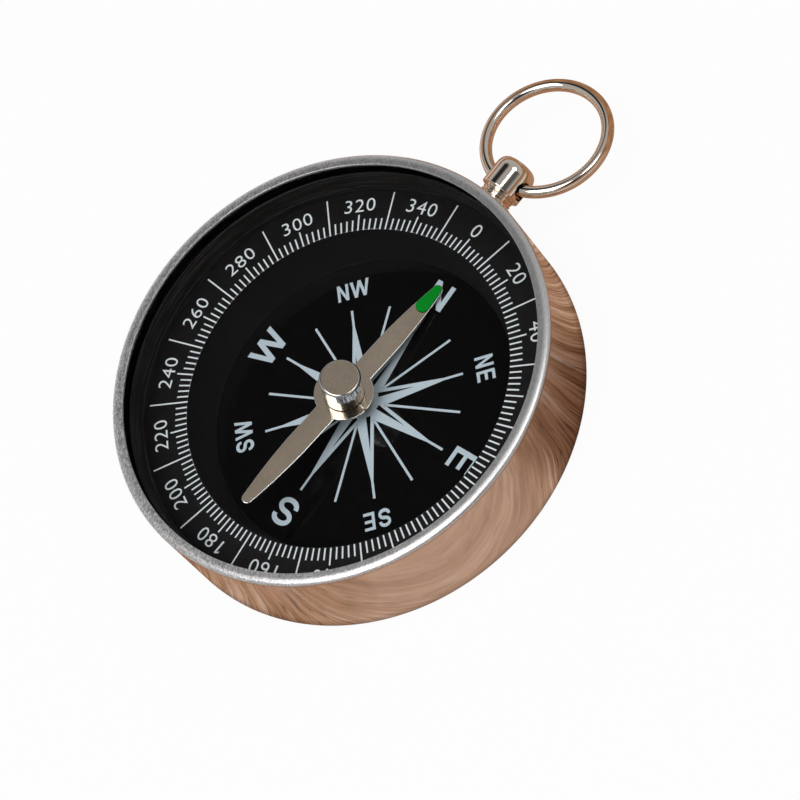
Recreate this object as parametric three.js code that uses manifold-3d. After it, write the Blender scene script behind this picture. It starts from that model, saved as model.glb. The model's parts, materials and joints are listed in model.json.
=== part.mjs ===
// Pocket compass on a key ring: a drawn metal case with a deep black well, a needle that rocks
// and turns on a pointed pin under a clear crystal, and a stem post with a loose wire ring.
// Millimetres. +Z is up through the dial, +Y points to the stem, +X is the dial's east.
// The origin is the middle of the flat back.

import * as THREE from 'three';
import { mergeVertices } from 'three/addons/utils/BufferGeometryUtils.js';
import Module from 'manifold-3d';

// Case
const CASE_RADIUS = 22.5;
const WALL = 0.5;
const RIM_WIDTH = 1.55;
const RIM_THICKNESS = 0.4;
const CASE_EDGE_ROUND = 0.45;
const WALL_FLARE = 0.3;
const RIM_EDGE_ROUND = 0.15;
const FIT = 0.1;

// Back plate and dial card
const BACK_FLANGE = 0.25;
const BACK_GROOVE = 0.22;
const BACK_CHAMFER = 0.12;
const DIAL_THICKNESS = 0.2;

// Scale ring and spacer sleeve
const WELL_DEPTH = 4.55;
const SCALE_WIDTH = 4.6;
const SCALE_PLATE = 0.9;
const WELL_WALL = 0.7;
const WELL_DRAFT = 0.9;
const SCALE_EDGE_ROUND = 0.2;
const SLEEVE_WALL = 0.6;

// Crystal and bezel
const CRYSTAL_GAP = 1.19;
const CRYSTAL_THICKNESS = 1.55;
const CRYSTAL_BEVEL = 0.2;
const LIP_THICKNESS = 0.25;
const LIP_COVER = 0.58;
const LIP_CHAMFER = 0.1;
const BEZEL_WALL = 0.25;
const BEZEL_SKIRT = 0.35;
const BEZEL_ROUND = 0.3;
const SEAM = 0.05;

// Needle: its bearing is in degrees clockwise from the stem; it dips to the north, rolls to the east
const NEEDLE_BEARING = -1.9;
const NEEDLE_DIP = 9.2;
const NEEDLE_ROLL = 13;
const NEEDLE_SIDE_GAP = 1.15;
const TIP_GAP = 0.15;
const BLADE_THICKNESS = 0.18;
const BOSS_RADIUS = 2.95;
const ARM_HALF_WIDTH = 1.15;
const ARM_SHOULDER = 7;
const ARM_BULGE = 1.03;
const TIP_RADIUS = 0.56;
const HUB_HEIGHT = 3.34;
const CAP_RADIUS = 2.04;
const CAP_ROOF = 0.2;
const CAP_CHAMFER = 0.16;
const CAP_WALL = 0.22;
const COLLAR_HEIGHT = 0.6;
const COLLAR_WALL = 0.18;
const JEWEL_ROOF = 0.1;
const JEWEL_DEPTH = 0.5;
const PAINT_LENGTH = 3.5;
const PAINT_THICKNESS = 0.08;
const PAINT_INSET = 0.12;
const SEAT_GAP = 0.06;

// Pivot pin
const PIN_RADIUS = 0.3;
const PIN_POINT = 1.6;
const PIN_TIP_RADIUS = 0.06;
const PIN_FOOT_RADIUS = 1.0;
const PIN_FOOT_HEIGHT = 0.35;
const PIVOT_GAP = 0.1;
const ROCK_GAP = 0.05;

// Stem
const SHANK_RADIUS = 1.2;
const NUT_RADIUS = 1.8;
const NUT_THICKNESS = 0.3;
const POCKET_GAP = 0.1;
const STEM_COLLAR_RADIUS = 1.95;
const STEM_COLLAR_HEIGHT = 0.4;
const NECK_RADIUS = 1.55;
const NECK_LENGTH = 0.9;
const NECK_RIDGES = 2;
const RIDGE_HEIGHT = 0.18;
const HEAD_RADIUS = 2.1;
const HEAD_LENGTH = 3.5;
const HEAD_CHAMFER = 0.15;
const HEAD_DOME = 1.2;
const HOLE_EDGE = 0.25;
const DRILL_OVERRUN = 1;

// Key ring
const RING_RADIUS = 6.2;
const WIRE_DIAMETER = 1.25;
const RING_PLAY = 0.18;
const RING_DROOP = 4;

// Facets
const CASE_STEPS = 64;
const SMALL_STEPS = 28;
const WIRE_STEPS = 12;
const RING_STEPS = 52;
const ARC_STEPS = 2;
const TIP_STEPS = 7;

// Radii that follow from the case
const baseRadius = CASE_RADIUS + WALL_FLARE;
const boreRadius = CASE_RADIUS - WALL;
const insertRadius = boreRadius - FIT;
const rimInner = CASE_RADIUS - RIM_WIDTH;
const sleeveInner = insertRadius - SLEEVE_WALL;
const wellRadius = sleeveInner - SCALE_WIDTH;
const wellFoot = wellRadius - WELL_DRAFT;
const lipInner = insertRadius - LIP_COVER;
const skirtInner = CASE_RADIUS - BEZEL_WALL;

// The needle in its own frame: the pin's point is at the origin and the blade lies below it
const dip = THREE.MathUtils.degToRad(NEEDLE_DIP);
const roll = THREE.MathUtils.degToRad(NEEDLE_ROLL);
const tilt = Math.acos(Math.cos(dip) * Math.cos(roll));
const needleReach = wellFoot - NEEDLE_SIDE_GAP;
const roofUnderside = JEWEL_ROOF + SEAT_GAP;
const capTop = roofUnderside + CAP_ROOF;
const bladeTop = capTop - HUB_HEIGHT;
const bladeBottom = bladeTop - BLADE_THICKNESS;
const hubBore = PIN_RADIUS - bladeBottom * Math.tan(tilt) + ROCK_GAP;
const bladeHole = hubBore + COLLAR_WALL + SEAT_GAP;
const tipDrop = needleReach * Math.sin(dip) + TIP_RADIUS * Math.sin(roll);

// Heights from the back upwards
const backTop = RIM_THICKNESS + BACK_FLANGE;
const dialTop = backTop + DIAL_THICKNESS;
const scaleTop = dialTop + WELL_DEPTH;
const pivotHeight = dialTop + TIP_GAP + tipDrop - bladeBottom * Math.cos(tilt);
const southTipTop = pivotHeight + tipDrop + bladeTop * Math.cos(tilt);
const hubTop = pivotHeight + capTop * Math.cos(tilt) + CAP_RADIUS * Math.sin(tilt);
const crystalUnderside = Math.max(southTipTop, hubTop, scaleTop) + CRYSTAL_GAP;
const crystalTop = crystalUnderside + CRYSTAL_THICKNESS;
const bezelLedge = crystalTop - BEZEL_SKIRT;
const caseHeight = crystalTop + LIP_THICKNESS;

// Stem stations along +Y, at half the case's height
const stemHeight = caseHeight / 2;
const nutSeat = Math.sqrt(boreRadius ** 2 - NUT_RADIUS ** 2) - SEAM;
const shankEnd = nutSeat - NUT_THICKNESS;
const collarFoot = stemHeight - STEM_COLLAR_RADIUS;
const flareThere = WALL_FLARE * (bezelLedge - collarFoot) / (bezelLedge - CASE_EDGE_ROUND);
const collarSeat = CASE_RADIUS + flareThere + SEAM;
const neckStart = collarSeat + STEM_COLLAR_HEIGHT;
const headStart = neckStart + NECK_LENGTH;
const headEnd = headStart + HEAD_LENGTH;
const wireRadius = WIRE_DIAMETER / 2;
const wireSagitta = RING_RADIUS - Math.sqrt(RING_RADIUS ** 2 - HEAD_RADIUS ** 2);
const holeRadius = wireRadius + RING_PLAY + wireSagitta / 2;
const holeStation = headStart + HOLE_EDGE + holeRadius;

const wasm = await Module();
wasm.setup();

function material(color, roughness, metalness, extra = {}) {
  return new THREE.MeshStandardMaterial({ color, roughness, metalness, ...extra });
}

// An outline in (radius, height), counter-clockwise, turned round +Y. It runs from the axis out
// and back to the axis, or it is a ring's section, which closes on itself.
function turned(path, steps) {
  const points = path.getPoints(ARC_STEPS);
  if (points[0].x > 0) {
    points.push(points[0].clone());
  }
  return new THREE.LatheGeometry(points, steps);
}

// The same, stood upright round +Z
function turnedUp(path, steps) {
  return turned(path, steps).rotateX(Math.PI / 2);
}

// The four corners of a plain ring's section
function ringSection(inner, outer, low, high) {
  return new THREE.Path()
    .moveTo(inner, low)
    .lineTo(outer, low)
    .lineTo(outer, high)
    .lineTo(inner, high);
}

function toSolid(geometry) {
  const bare = geometry.clone();
  bare.deleteAttribute('normal');
  bare.deleteAttribute('uv');
  const merged = mergeVertices(bare);
  const triVerts = [];
  for (let i = 0; i < merged.index.count; i += 3) {
    const corners = [0, 1, 2].map((k) => merged.index.getX(i + k));
    if (new Set(corners).size === 3) {
      triVerts.push(...corners);
    }
  }
  const mesh = new wasm.Mesh({
    numProp: 3,
    vertProperties: new Float32Array(merged.attributes.position.array),
    triVerts: new Uint32Array(triVerts),
  });
  return new wasm.Manifold(mesh);
}

function toGeometry(solid) {
  const mesh = solid.getMesh();
  const geometry = new THREE.BufferGeometry();
  geometry.setAttribute('position', new THREE.BufferAttribute(mesh.vertProperties, 3));
  geometry.setIndex(new THREE.BufferAttribute(mesh.triVerts, 1));
  geometry.computeVertexNormals();
  return geometry;
}

function cut(geometry, ...tools) {
  const solid = tools.reduce((left, tool) => left.subtract(toSolid(tool)), toSolid(geometry));
  return toGeometry(solid);
}

// A round cutter along +Y at the stem's height
function stemDrill(radius, from, to) {
  return new THREE.CylinderGeometry(radius, radius, to - from, SMALL_STEPS)
    .translate(0, (from + to) / 2, stemHeight);
}

const compass = new THREE.Group();

function addPart(parent, name, geometry, finish) {
  const mesh = new THREE.Mesh(geometry, finish);
  mesh.name = name;
  parent.add(mesh);
}

// Case wall: one drawn section that widens a little towards the back, turned in below to hold the
// back, stepped above for the bezel
function caseBody() {
  const section = new THREE.Path()
    .moveTo(rimInner + RIM_EDGE_ROUND, 0)
    .lineTo(baseRadius - CASE_EDGE_ROUND, 0)
    .absarc(baseRadius - CASE_EDGE_ROUND, CASE_EDGE_ROUND, CASE_EDGE_ROUND, -Math.PI / 2, 0)
    .lineTo(CASE_RADIUS, bezelLedge)
    .lineTo(skirtInner - SEAM, bezelLedge)
    .lineTo(skirtInner - SEAM, crystalTop)
    .lineTo(boreRadius, crystalTop)
    .lineTo(boreRadius, RIM_THICKNESS)
    .lineTo(rimInner, RIM_THICKNESS)
    .absarc(rimInner + RIM_EDGE_ROUND, RIM_EDGE_ROUND, RIM_EDGE_ROUND, Math.PI, Math.PI * 1.5);
  const wall = turnedUp(section, CASE_STEPS);
  return cut(wall, stemDrill(SHANK_RADIUS + FIT, boreRadius - WALL, CASE_RADIUS + WALL));
}

// Back: a disc whose flange lies on the turned-in rim and whose face is flush with it
function backPlate() {
  const faceRadius = rimInner - BACK_GROOVE;
  const outline = new THREE.Path()
    .moveTo(0, 0)
    .lineTo(faceRadius - BACK_CHAMFER, 0)
    .lineTo(faceRadius, BACK_CHAMFER)
    .lineTo(faceRadius, RIM_THICKNESS)
    .lineTo(insertRadius, RIM_THICKNESS)
    .lineTo(insertRadius, backTop)
    .lineTo(0, backTop);
  return turnedUp(outline, CASE_STEPS);
}

function dialCard() {
  return turnedUp(ringSection(PIN_RADIUS + FIT, insertRadius, backTop, dialTop), CASE_STEPS);
}

// Scale ring: a flat annulus on the leaning wall of the well, which stands on the dial card
function scaleRing() {
  const section = new THREE.Path()
    .moveTo(wellFoot, dialTop)
    .lineTo(wellFoot + WELL_WALL, dialTop)
    .lineTo(wellRadius + WELL_WALL, scaleTop - SCALE_PLATE)
    .lineTo(insertRadius, scaleTop - SCALE_PLATE)
    .lineTo(insertRadius, scaleTop)
    .lineTo(wellRadius + SCALE_EDGE_ROUND, scaleTop)
    .absarc(
      wellRadius + SCALE_EDGE_ROUND, scaleTop - SCALE_EDGE_ROUND, SCALE_EDGE_ROUND,
      Math.PI / 2, Math.PI,
    );
  return cut(turnedUp(section, CASE_STEPS), nutPocket());
}

function spacerSleeve() {
  const section = ringSection(sleeveInner, insertRadius, scaleTop, crystalUnderside);
  return cut(turnedUp(section, CASE_STEPS), nutPocket());
}

// Room for the stem's nut in the backs of the scale ring and the sleeve
function nutPocket() {
  return stemDrill(NUT_RADIUS + POCKET_GAP, shankEnd - POCKET_GAP, CASE_RADIUS);
}

function crystalDisc() {
  const outline = new THREE.Path()
    .moveTo(0, crystalUnderside)
    .lineTo(insertRadius, crystalUnderside)
    .lineTo(insertRadius, crystalTop - CRYSTAL_BEVEL)
    .lineTo(insertRadius - CRYSTAL_BEVEL, crystalTop)
    .lineTo(0, crystalTop);
  return turnedUp(outline, CASE_STEPS);
}

// Bezel: a lip over the crystal with a short skirt round the top of the wall
function bezelRing() {
  const section = new THREE.Path()
    .moveTo(skirtInner, bezelLedge + SEAM)
    .lineTo(CASE_RADIUS, bezelLedge + SEAM)
    .lineTo(CASE_RADIUS, caseHeight - BEZEL_ROUND)
    .absarc(CASE_RADIUS - BEZEL_ROUND, caseHeight - BEZEL_ROUND, BEZEL_ROUND, 0, Math.PI / 2)
    .lineTo(lipInner + LIP_CHAMFER, caseHeight)
    .lineTo(lipInner, caseHeight - LIP_CHAMFER)
    .lineTo(lipInner, crystalTop)
    .lineTo(skirtInner, crystalTop);
  return turnedUp(section, CASE_STEPS);
}

// Pin: a peg through the dial card, a foot on it, and a shank ground to a point
function pivotPin() {
  const point = pivotHeight - PIVOT_GAP;
  const outline = new THREE.Path()
    .moveTo(0, backTop)
    .lineTo(PIN_RADIUS, backTop)
    .lineTo(PIN_RADIUS, dialTop)
    .lineTo(PIN_FOOT_RADIUS, dialTop)
    .lineTo(PIN_FOOT_RADIUS, dialTop + PIN_FOOT_HEIGHT / 2)
    .lineTo(PIN_RADIUS, dialTop + PIN_FOOT_HEIGHT)
    .lineTo(PIN_RADIUS, point - PIN_POINT)
    .lineTo(PIN_TIP_RADIUS, point - PIN_TIP_RADIUS)
    .lineTo(0, point);
  return turnedUp(outline, SMALL_STEPS);
}

// Each arm's edge runs straight from the boss to a shoulder, then curves in to the rounded tip
const tipCentre = needleReach - TIP_RADIUS;

function armHalfWidth(station) {
  const t = (station - ARM_SHOULDER) / (tipCentre - ARM_SHOULDER);
  return ARM_HALF_WIDTH * (1 - t) ** 2 + 2 * ARM_BULGE * t * (1 - t) + TIP_RADIUS * t ** 2;
}

// One arm: out along one edge, round the tip and back along the other edge
function armOutline(shape, direction) {
  const middle = (ARM_SHOULDER + tipCentre) / 2;
  shape.lineTo(direction * ARM_HALF_WIDTH, direction * ARM_SHOULDER);
  shape.quadraticCurveTo(
    direction * ARM_BULGE, direction * middle, direction * TIP_RADIUS, direction * tipCentre,
  );
  const start = direction > 0 ? 0 : Math.PI;
  shape.absarc(0, direction * tipCentre, TIP_RADIUS, start, start + Math.PI);
  shape.quadraticCurveTo(
    -direction * ARM_BULGE, direction * middle,
    -direction * ARM_HALF_WIDTH, direction * ARM_SHOULDER,
  );
}

// Blade: two leaf-shaped arms on a round boss, all in one sheet
function needleBlade() {
  const side = Math.acos(ARM_HALF_WIDTH / BOSS_RADIUS);
  const outline = new THREE.Shape();
  outline.absarc(0, 0, BOSS_RADIUS, -side, side);
  armOutline(outline, 1);
  outline.absarc(0, 0, BOSS_RADIUS, Math.PI - side, Math.PI + side);
  armOutline(outline, -1);
  const hole = new THREE.Path().absarc(0, 0, bladeHole, 0, Math.PI * 2);
  outline.holes.push(hole);
  const sheet = { depth: BLADE_THICKNESS, bevelEnabled: false, curveSegments: TIP_STEPS };
  return new THREE.ExtrudeGeometry(outline, sheet).translate(0, 0, bladeBottom);
}

// Paint on the north tip: it follows the blade's edge and ends in a round towards the boss
function northTip() {
  const outerRadius = TIP_RADIUS - PAINT_INSET;
  const innerRadius = armHalfWidth(needleReach - PAINT_LENGTH + TIP_RADIUS) - PAINT_INSET;
  const innerCentre = needleReach - PAINT_LENGTH + innerRadius;
  const outline = new THREE.Shape();
  outline.absarc(0, tipCentre, outerRadius, 0, Math.PI);
  outline.absarc(0, innerCentre, innerRadius, Math.PI, Math.PI * 2);
  const film = { depth: PAINT_THICKNESS, bevelEnabled: false, curveSegments: TIP_STEPS };
  return new THREE.ExtrudeGeometry(outline, film).translate(0, 0, bladeTop + SEAT_GAP);
}

// Collar: a bush through the blade whose flange lies on the boss, inside the cap
function needleCollar() {
  const low = bladeTop + SEAT_GAP;
  const flange = CAP_RADIUS - CAP_WALL - SEAT_GAP;
  const section = new THREE.Path()
    .moveTo(hubBore, bladeBottom)
    .lineTo(hubBore + COLLAR_WALL, bladeBottom)
    .lineTo(hubBore + COLLAR_WALL, low)
    .lineTo(flange, low)
    .lineTo(flange, low + COLLAR_HEIGHT)
    .lineTo(hubBore, low + COLLAR_HEIGHT);
  return turnedUp(section, SMALL_STEPS);
}

// Cap: a turned cup, open below, whose skirt covers the collar and stands on the boss
function needleCap() {
  const low = bladeTop + SEAT_GAP;
  const ledge = low + COLLAR_HEIGHT + SEAT_GAP;
  const skirt = CAP_RADIUS - CAP_WALL;
  const outline = new THREE.Path()
    .moveTo(0, roofUnderside)
    .lineTo(hubBore, roofUnderside)
    .lineTo(hubBore, ledge)
    .lineTo(skirt, ledge)
    .lineTo(skirt, low)
    .lineTo(CAP_RADIUS, low)
    .lineTo(CAP_RADIUS, capTop - CAP_CHAMFER)
    .lineTo(CAP_RADIUS - CAP_CHAMFER, capTop)
    .lineTo(0, capTop);
  return turnedUp(outline, SMALL_STEPS);
}

// Jewel: a cup whose cone sits over the pin's point
function needleJewel() {
  const radius = hubBore - SEAT_GAP;
  const outline = new THREE.Path()
    .moveTo(0, 0)
    .lineTo(JEWEL_DEPTH, -JEWEL_DEPTH)
    .lineTo(radius, -JEWEL_DEPTH)
    .lineTo(radius, JEWEL_ROOF)
    .lineTo(0, JEWEL_ROOF);
  return turnedUp(outline, SMALL_STEPS);
}

// Post: shank through the wall, ridged neck, and a rounded head with a cross hole
function stemPost() {
  const ridgePitch = NECK_LENGTH / (NECK_RIDGES + 1);
  const outline = new THREE.Path()
    .moveTo(0, shankEnd)
    .lineTo(SHANK_RADIUS, shankEnd)
    .lineTo(SHANK_RADIUS, neckStart)
    .lineTo(NECK_RADIUS, neckStart);
  for (let ridge = 1; ridge <= NECK_RIDGES; ridge += 1) {
    const crest = neckStart + ridge * ridgePitch;
    outline.lineTo(NECK_RADIUS, crest - ridgePitch / 2);
    outline.lineTo(NECK_RADIUS + RIDGE_HEIGHT, crest);
  }
  outline
    .lineTo(NECK_RADIUS, headStart - ridgePitch / 2)
    .lineTo(NECK_RADIUS, headStart)
    .lineTo(HEAD_RADIUS - HEAD_CHAMFER, headStart)
    .lineTo(HEAD_RADIUS, headStart + HEAD_CHAMFER)
    .lineTo(HEAD_RADIUS, headEnd - HEAD_DOME)
    .absarc(HEAD_RADIUS - HEAD_DOME, headEnd - HEAD_DOME, HEAD_DOME, 0, Math.PI / 2)
    .lineTo(0, headEnd);
  const post = turned(outline, SMALL_STEPS);
  const through = 2 * (HEAD_RADIUS + DRILL_OVERRUN);
  const drill = new THREE.CylinderGeometry(holeRadius, holeRadius, through, SMALL_STEPS)
    .rotateZ(Math.PI / 2)
    .translate(0, holeStation, 0);
  return cut(post, drill).translate(0, 0, stemHeight);
}

// A flat ring on the stem's shank
function shankRing(outer, from, to) {
  const section = ringSection(SHANK_RADIUS + FIT, outer, from, to);
  return turned(section, SMALL_STEPS).translate(0, 0, stemHeight);
}

// Ring: round wire whose near side lies in the post's hole, towards the case
function keyRing() {
  const nearSide = wireRadius + RING_PLAY - holeRadius;
  return new THREE.TorusGeometry(RING_RADIUS, wireRadius, WIRE_STEPS, RING_STEPS)
    .translate(0, nearSide + RING_RADIUS, 0);
}

const polished = () => material(0xb9b4ae, 0.12, 1.0);
const satin = () => material(0xb4b6b8, 0.42, 1.0);
const blackMoulding = () => material(0x151416, 0.4, 0.0);

addPart(compass, 'case_body', caseBody(), polished());
addPart(compass, 'back_plate', backPlate(), material(0xc4b5a6, 0.45, 1.0));
addPart(compass, 'bezel_ring', bezelRing(), satin());
addPart(compass, 'crystal', crystalDisc(), material(0xffffff, 0.05, 0.0, {
  transparent: true,
  opacity: 0.15,
}));
addPart(compass, 'spacer_sleeve', spacerSleeve(), blackMoulding());
addPart(compass, 'scale_ring', scaleRing(), blackMoulding());
addPart(compass, 'dial_card', dialCard(), material(0x141214, 0.3, 0.0));
addPart(compass, 'pivot_pin', pivotPin(), material(0xb08d4f, 0.3, 1.0));

const needleTurn = new THREE.Group();
needleTurn.position.z = pivotHeight;
needleTurn.rotation.z = -THREE.MathUtils.degToRad(NEEDLE_BEARING);
const needle = new THREE.Group();
needle.rotation.set(-dip, roll, 0);
needleTurn.add(needle);
compass.add(needleTurn);

addPart(needle, 'needle_blade', needleBlade(), material(0x8a7e70, 0.35, 1.0));
addPart(needle, 'needle_collar', needleCollar(), polished());
addPart(needle, 'needle_cap', needleCap(), polished());
addPart(needle, 'needle_jewel', needleJewel(), material(0xa03040, 0.1, 0.0));
addPart(needle, 'north_tip', northTip(), material(0x008c28, 0.5, 0.0));

addPart(compass, 'stem_post', stemPost(), polished());
addPart(compass, 'stem_collar', shankRing(STEM_COLLAR_RADIUS, collarSeat, neckStart), polished());
addPart(compass, 'stem_nut', shankRing(NUT_RADIUS, shankEnd, nutSeat), polished());

const ringSwing = new THREE.Group();
ringSwing.position.set(0, holeStation, stemHeight);
ringSwing.rotation.x = -THREE.MathUtils.degToRad(RING_DROOP);
compass.add(ringSwing);
addPart(ringSwing, 'key_ring', keyRing(), polished());

export default compass;
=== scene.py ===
# %% [markdown]
# # A pocket compass on a key ring
# A drawn metal case holds a deep black well. In the well a magnetised needle rocks and turns on a
# pointed pin, over a printed rose and inside a printed ring of degrees. A clear crystal and a satin
# bezel close the top, and a post on the rim carries a loose wire ring.
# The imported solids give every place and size. This script dresses them: it turns smooth versions of
# the faceted pieces, prints the dial, and gives each surface its finish.

# %% Load the solids
import json
import math

import bmesh
import bpy
from mathutils import Matrix, Vector


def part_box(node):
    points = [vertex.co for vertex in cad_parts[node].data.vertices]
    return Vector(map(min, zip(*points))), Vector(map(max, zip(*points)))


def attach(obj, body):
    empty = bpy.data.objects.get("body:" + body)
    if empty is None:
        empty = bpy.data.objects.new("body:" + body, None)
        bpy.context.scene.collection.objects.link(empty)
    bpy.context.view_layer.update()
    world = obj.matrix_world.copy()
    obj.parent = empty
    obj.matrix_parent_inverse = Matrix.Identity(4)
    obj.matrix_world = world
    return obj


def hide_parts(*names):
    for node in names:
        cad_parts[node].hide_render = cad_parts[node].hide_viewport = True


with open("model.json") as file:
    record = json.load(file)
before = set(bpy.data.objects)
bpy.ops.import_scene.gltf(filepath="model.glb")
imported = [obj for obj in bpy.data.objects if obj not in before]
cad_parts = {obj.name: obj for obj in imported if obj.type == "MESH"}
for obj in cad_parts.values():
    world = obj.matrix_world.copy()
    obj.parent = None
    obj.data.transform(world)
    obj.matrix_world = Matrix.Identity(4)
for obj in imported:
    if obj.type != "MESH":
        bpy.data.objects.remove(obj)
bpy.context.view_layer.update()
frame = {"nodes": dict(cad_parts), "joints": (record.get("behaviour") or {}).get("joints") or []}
nodes = frame["nodes"]
MM = 0.001


def in_mm(*sizes):
    return [round(size / MM, 2) for size in sizes]


# %% [markdown]
# ## The camera
# The photograph was taken from the east side of the dial, well above it, with the camera rolled so that
# the stem points to the upper right. A long lens keeps the ellipses calm. Azimuth, elevation, roll and
# distance are easier to read than a matrix, so the camera is placed from those.

# %% Place the camera
CAMERA_AIM = Vector((5.92, 1.83, 5.10)) * MM
CAMERA_AZIMUTH = -11.29
CAMERA_ELEVATION = 56.48
CAMERA_ROLL = math.radians(-41.93)
CAMERA_DISTANCE = 247.37 * MM
CAMERA_LENS = 117.0


def aim(azimuth, elevation):
    """A unit vector from two angles in degrees."""
    a, e = math.radians(azimuth), math.radians(elevation)
    return Vector((math.cos(a) * math.cos(e), math.sin(a) * math.cos(e), math.sin(e)))


def adjust(item, **settings):
    for name, value in settings.items():
        setattr(item, name, value)
    return item


def add_object(name, data):
    item = bpy.data.objects.new(name, data)
    bpy.context.scene.collection.objects.link(item)
    return item


camera = add_object("camera", bpy.data.cameras.new("camera"))
adjust(camera.data, lens=CAMERA_LENS, sensor_width=36.0, clip_start=0.01)
bpy.context.scene.camera = camera
towards_camera = aim(CAMERA_AZIMUTH, CAMERA_ELEVATION)
camera.location = CAMERA_AIM + towards_camera * CAMERA_DISTANCE
upright = (-towards_camera).to_track_quat("-Z", "Y").to_matrix()
camera.rotation_euler = (upright @ Matrix.Rotation(CAMERA_ROLL, 3, "Z")).to_euler()
print("camera in mm:", in_mm(*camera.location))

# %% [markdown]
# ## Node trees as Python sums
# Finishes and repeated prints are both node trees. Wiring nodes by hand hides the idea, so one small class
# wraps an output socket: adding or multiplying wrapped sockets adds the Math nodes. A second class holds
# the tree and makes every other kind of node: its settings first, then its sockets.

# %% Wrap a socket
class Signal:
    """An output socket that can be used in Python sums."""

    def __init__(self, graph, socket):
        self.graph = graph
        self.socket = socket

    def math(self, operation, *values):
        return self.graph.node("ShaderNodeMath", dict(enumerate(values)), operation=operation)

    def __add__(self, other):
        return self.math("ADD", self, other)

    __radd__ = __add__

    def __sub__(self, other):
        return self.math("SUBTRACT", self, other)

    def __rsub__(self, other):
        return self.math("SUBTRACT", other, self)

    def __mul__(self, other):
        return self.math("MULTIPLY", self, other)

    __rmul__ = __mul__

    def __truediv__(self, other):
        return self.math("DIVIDE", self, other)

    def __rtruediv__(self, other):
        return self.math("DIVIDE", other, self)

    def __mod__(self, other):
        return self.math("FLOORED_MODULO", self, other)

    def __lt__(self, other):
        return self.math("LESS_THAN", self, other)

    def __gt__(self, other):
        return self.math("GREATER_THAN", self, other)


print("socket sums ready")

# %% Hold a tree
class Graph:
    """A node tree. node() adds a node and returns one of its outputs."""

    def __init__(self, tree):
        self.tree = tree

    def node(self, kind, sockets=None, output=0, **settings):
        made = adjust(self.tree.nodes.new(kind), **settings)
        for key, value in (sockets or {}).items():
            self._plug(self._find(made.inputs, key), value)
        return Signal(self, self._find(made.outputs, output))

    def dot(self, first, second):
        return self.node("ShaderNodeVectorMath", {0: first, 1: second}, "Value", operation="DOT_PRODUCT")

    def fade(self, value, start, end, first=0.0, last=1.0, kind="SMOOTHSTEP"):
        """One level before the start, another beyond the end."""
        return self.node("ShaderNodeMapRange", {
            "Value": value, "From Min": start, "From Max": end, "To Min": first, "To Max": last,
        }, interpolation_type=kind)

    def _find(self, sockets, key):
        if key is None:
            return None
        if isinstance(key, int):
            return sockets[key]
        return next(s for s in sockets if s.name == key and s.enabled)

    def _plug(self, socket, value):
        if isinstance(value, Signal):
            self.tree.links.new(value.socket, socket)
        else:
            socket.default_value = value


print("node trees ready")

# %% [markdown]
# ## Finishes
# Every finish starts from one shader node, and what is even all over the surface is set on that node's own
# sockets. What varies, such as grain, turning lines or rubbed edges, comes from procedural patterns on
# Object coordinates, in metres, so a scale of 2000 means features of about half a millimetre.

# %% Start a finish
class Finish(Graph):
    """A material with one main shader, made from plain values and Signals."""

    def __init__(self, name):
        self.material = bpy.data.materials.new(name)
        self.material.use_nodes = True
        self.material.node_tree.nodes.clear()
        super().__init__(self.material.node_tree)
        self.place = self.node("ShaderNodeTexCoord", output="Object")

    def noise(self, scale, detail=2.0, roughness=0.5, place=None, output=0):
        sockets = {"Vector": place or self.place, "Scale": scale, "Detail": detail, "Roughness": roughness}
        return self.node("ShaderNodeTexNoise", sockets, output)

    def streaks(self, scale, detail, roughness, place=None):
        """A noise that is stretched by three scales."""
        drawn = self.node("ShaderNodeMapping", {"Vector": place or self.place, "Scale": scale})
        return self.noise(1.0, detail, roughness, drawn)

    def turned_by(self, angle):
        return self.node("ShaderNodeMapping", {"Vector": self.place, "Rotation": (0.0, 0.0, -angle)})

    def tint(self, factor, first, second, blend="MIX"):
        """A colour between two, which are (red, green, blue) or Signals."""
        first, second = [c if isinstance(c, Signal) else (*c, 1.0) for c in (first, second)]
        sockets = {"Factor": factor, "A": first, "B": second}
        return self.node("ShaderNodeMix", sockets, "Result", data_type="RGBA", blend_type=blend)

    def bump(self, height, strength, distance):
        return self.node("ShaderNodeBump", {"Height": height, "Strength": strength, "Distance": distance})

    def mixed(self, factor, first, second):
        return self.node("ShaderNodeMixShader", {0: factor, 1: first, 2: second})

    def coat(self, **sockets):
        named = {name.replace("_", " "): value for name, value in sockets.items()}
        return self.done(self.node("ShaderNodeBsdfPrincipled", named))

    def done(self, shader):
        self.node("ShaderNodeOutputMaterial", {"Surface": shader}, None, target="ALL")
        print("finish:", self.material.name)
        return self.material


print("finishes ready")

# %% [markdown]
# ### Polished metal
# The wall, the post and the ring are bright plated metal. A perfect mirror looks computed, so the roughness
# wanders a little, as on a surface that was buffed and then carried in a pocket.

# %% Polished metal
def polished_metal(name, colour, gloss, haze):
    finish = Finish(name)
    smear = finish.noise(180.0, 3.0, 0.6)
    hairs = finish.streaks((900.0, 900.0, 9000.0), 2.0, 0.6)
    return finish.coat(
        Base_Color=(*colour, 1.0), Metallic=1.0, Roughness=gloss + haze * smear + 0.04 * hairs,
        Normal=finish.bump(hairs, 0.03, 0.00001))


WALL_METAL = polished_metal("wall_polish", (0.80, 0.78, 0.76), 0.03, 0.06)
NICKEL = polished_metal("nickel_polish", (0.84, 0.76, 0.67), 0.03, 0.05)
CAP_METAL = polished_metal("cap_polish", (0.66, 0.645, 0.63), 0.03, 0.05)
NEEDLE_EDGE = polished_metal("needle_edge", (0.95, 0.92, 0.88), 0.12, 0.05)

# %% [markdown]
# ### Satin metal
# The back and the needle were finished with a fine abrasive, and the brass pin was turned. Satin is roughness
# plus a very fine grain: the grain bends the reflections, and the roughness spreads them.

# %% Satin metal
FINE_GRAIN = 9000.0


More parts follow.
